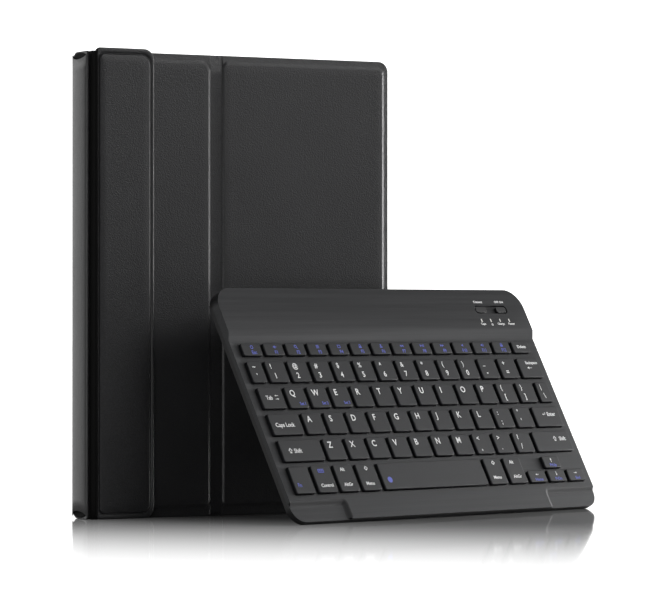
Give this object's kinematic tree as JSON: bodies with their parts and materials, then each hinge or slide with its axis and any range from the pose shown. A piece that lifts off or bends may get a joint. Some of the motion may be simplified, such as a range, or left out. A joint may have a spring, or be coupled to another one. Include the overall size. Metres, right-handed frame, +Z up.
{
  "type": "tablet keyboard case",
  "caption": "Upright tablet folio with stand fold, magnetic closure flap and tablet tray, with a detachable keyboard leaning in front.",
  "frame": {"origin": "middle of the footprint box, on the surface the case stands on", "axes": "+X along the folio's width, from the spine to the free edge, +Y from the folio's face to its back, +Z up"},
  "size_m": [0.3059, 0.131, 0.2548],
  "materials": {
    "black_leather": "fine grain",
    "spine_leather": "smooth satin",
    "greyboard": "matt",
    "lining": "soft napped",
    "tray_plastic": "fine matt",
    "magnet": "plated",
    "deck_metal": "brushed, dark anodised",
    "case_plastic": "satin",
    "key_plastic": "satin",
    "rubber": "matt",
    "dome_rubber": "matt",
    "steel": "satin",
    "membrane": "glossy",
    "board_green": "glossy",
    "battery_foil": "satin",
    "clip_plastic": "satin",
    "lamp_plastic": "clear satin",
    "white_ink": "printed",
    "blue_ink": "printed"
  },
  "bodies": {
    "back_panel": {"wide_panel_leather": "black_leather", "wide_panel_board": "greyboard", "wide_panel_lining": "lining", "tablet_tray": "tray_plastic", "stand_magnets": "magnet"},
    "stand_leg": {"leg_leather": "black_leather", "leg_board": "greyboard", "leg_lining": "lining", "leg_magnets": "magnet"},
    "closure_flap": {"flap_leather": "black_leather", "flap_board": "greyboard", "flap_lining": "lining", "flap_magnets": "magnet"},
    "spine_strip": {"spine_leather": "spine_leather", "spine_board": "greyboard", "spine_lining": "lining"},
    "far_cover": {"cover_leather": "black_leather", "cover_board": "greyboard", "cover_lining": "lining", "cover_magnets": "magnet"},
    "keyboard": {"keyboard_top": "deck_metal", "keyboard_base": "case_plastic", "rubber_feet": "rubber", "case_screws": "steel", "keyboard_magnets": "magnet", "support_plate": "steel", "membrane_sheet": "membrane", "rubber_domes": "dome_rubber", "scissor_frames": "clip_plastic", "circuit_board": "board_green", "battery_pack": "battery_foil", "charging_port": "steel", "indicator_windows": "lamp_plastic", "switch_body": "case_plastic"},
    "power_slider": {"power_switch": "case_plastic"},
    "connect_key": {"connect_button": "case_plastic"},
    "key_escape": {"key_escape": "key_plastic"},
    "keys_function": {"keys_function": "key_plastic"},
    "key_delete": {"key_delete": "key_plastic"},
    "keys_number": {"keys_number": "key_plastic"},
    "key_backspace": {"key_backspace": "key_plastic"},
    "key_tab": {"key_tab": "key_plastic"},
    "keys_upper": {"keys_upper": "key_plastic"},
    "key_caps_lock": {"key_caps_lock": "key_plastic"},
    "keys_home": {"keys_home": "key_plastic"},
    "key_enter": {"key_enter": "key_plastic"},
    "key_shift_left": {"key_shift_left": "key_plastic"},
    "keys_lower": {"keys_lower": "key_plastic"},
    "key_shift_right": {"key_shift_right": "key_plastic"},
    "keys_modifier_left": {"keys_modifier_left": "key_plastic"},
    "key_space": {"key_space": "key_plastic"},
    "keys_modifier_right": {"keys_modifier_right": "key_plastic"},
    "key_arrow_left": {"key_arrow_left": "key_plastic"},
    "key_arrow_up": {"key_arrow_up": "key_plastic"},
    "key_arrow_down": {"key_arrow_down": "key_plastic"},
    "key_arrow_right": {"key_arrow_right": "key_plastic"}
  },
  "joints": [
    {"name": "leg_fold", "type": "hinge", "parent": "back_panel", "child": "stand_leg", "pos_m": [-0.07292, 0.04213, 0], "axis": [0, 0, 1], "range_deg": [0, 40]},
    {"name": "flap_fold", "type": "hinge", "parent": "stand_leg", "child": "closure_flap", "pos_m": [-0.14892, 0.03863, 0], "axis": [0, 0, -1], "range_deg": [0, 150]},
    {"name": "spine_fold", "type": "hinge", "parent": "back_panel", "child": "spine_strip", "pos_m": [-0.15012, 0.04073, 0], "axis": [0, 0, 1], "range_deg": [0, 90]},
    {"name": "cover_fold", "type": "hinge", "parent": "spine_strip", "child": "far_cover", "pos_m": [-0.15012, 0.06063, 0], "axis": [0, 0, 1], "range_deg": [0, 90]},
    {"name": "keyboard_draw", "type": "slide", "parent": "back_panel", "child": "keyboard", "axis": [0, -1, 0], "range_m": [0, 0.1]},
    {"name": "power_slide", "type": "slide", "parent": "keyboard", "child": "power_slider", "axis": [-0.96, -0.2798, 0], "range_m": [0, 0.005]},
    {"name": "connect_press", "type": "slide", "parent": "keyboard", "child": "connect_key", "axis": [-0.2459, 0.8437, -0.4772], "range_m": [0, 0.0006], "stiffness_N_per_m": 1500},
    {"name": "escape_press", "type": "slide", "parent": "keyboard", "child": "key_escape", "axis": [-0.2459, 0.8437, -0.4772], "range_m": [0, 0.0015], "stiffness_N_per_m": 350},
    {"name": "function_press", "type": "slide", "parent": "keyboard", "child": "keys_function", "axis": [-0.2459, 0.8437, -0.4772], "range_m": [0, 0.0015], "stiffness_N_per_m": 4200},
    {"name": "delete_press", "type": "slide", "parent": "keyboard", "child": "key_delete", "axis": [-0.2459, 0.8437, -0.4772], "range_m": [0, 0.0015], "stiffness_N_per_m": 350},
    {"name": "number_press", "type": "slide", "parent": "keyboard", "child": "keys_number", "axis": [-0.2459, 0.8437, -0.4772], "range_m": [0, 0.0015], "stiffness_N_per_m": 4550},
    {"name": "backspace_press", "type": "slide", "parent": "keyboard", "child": "key_backspace", "axis": [-0.2459, 0.8437, -0.4772], "range_m": [0, 0.0015], "stiffness_N_per_m": 350},
    {"name": "tab_press", "type": "slide", "parent": "keyboard", "child": "key_tab", "axis": [-0.2459, 0.8437, -0.4772], "range_m": [0, 0.0015], "stiffness_N_per_m": 350},
    {"name": "upper_press", "type": "slide", "parent": "keyboard", "child": "keys_upper", "axis": [-0.2459, 0.8437, -0.4772], "range_m": [0, 0.0015], "stiffness_N_per_m": 4550},
    {"name": "caps_lock_press", "type": "slide", "parent": "keyboard", "child": "key_caps_lock", "axis": [-0.2459, 0.8437, -0.4772], "range_m": [0, 0.0015], "stiffness_N_per_m": 350},
    {"name": "home_press", "type": "slide", "parent": "keyboard", "child": "keys_home", "axis": [-0.2459, 0.8437, -0.4772], "range_m": [0, 0.0015], "stiffness_N_per_m": 3850},
    {"name": "enter_press", "type": "slide", "parent": "keyboard", "child": "key_enter", "axis": [-0.2459, 0.8437, -0.4772], "range_m": [0, 0.0015], "stiffness_N_per_m": 350},
    {"name": "shift_left_press", "type": "slide", "parent": "keyboard", "child": "key_shift_left", "axis": [-0.2459, 0.8437, -0.4772], "range_m": [0, 0.0015], "stiffness_N_per_m": 350},
    {"name": "lower_press", "type": "slide", "parent": "keyboard", "child": "keys_lower", "axis": [-0.2459, 0.8437, -0.4772], "range_m": [0, 0.0015], "stiffness_N_per_m": 3500},
    {"name": "shift_right_press", "type": "slide", "parent": "keyboard", "child": "key_shift_right", "axis": [-0.2459, 0.8437, -0.4772], "range_m": [0, 0.0015], "stiffness_N_per_m": 350},
    {"name": "modifier_left_press", "type": "slide", "parent": "keyboard", "child": "keys_modifier_left", "axis": [-0.2459, 0.8437, -0.4772], "range_m": [0, 0.0015], "stiffness_N_per_m": 1400},
    {"name": "space_press", "type": "slide", "parent": "keyboard", "child": "key_space", "axis": [-0.2459, 0.8437, -0.4772], "range_m": [0, 0.0015], "stiffness_N_per_m": 350},
    {"name": "modifier_right_press", "type": "slide", "parent": "keyboard", "child": "keys_modifier_right", "axis": [-0.2459, 0.8437, -0.4772], "range_m": [0, 0.0015], "stiffness_N_per_m": 700},
    {"name": "arrow_left_press", "type": "slide", "parent": "keyboard", "child": "key_arrow_left", "axis": [-0.2459, 0.8437, -0.4772], "range_m": [0, 0.0015], "stiffness_N_per_m": 350},
    {"name": "arrow_up_press", "type": "slide", "parent": "keyboard", "child": "key_arrow_up", "axis": [-0.2459, 0.8437, -0.4772], "range_m": [0, 0.0015], "stiffness_N_per_m": 350},
    {"name": "arrow_down_press", "type": "slide", "parent": "keyboard", "child": "key_arrow_down", "axis": [-0.2459, 0.8437, -0.4772], "range_m": [0, 0.0015], "stiffness_N_per_m": 350},
    {"name": "arrow_right_press", "type": "slide", "parent": "keyboard", "child": "key_arrow_right", "axis": [-0.2459, 0.8437, -0.4772], "range_m": [0, 0.0015], "stiffness_N_per_m": 350}
  ]
}
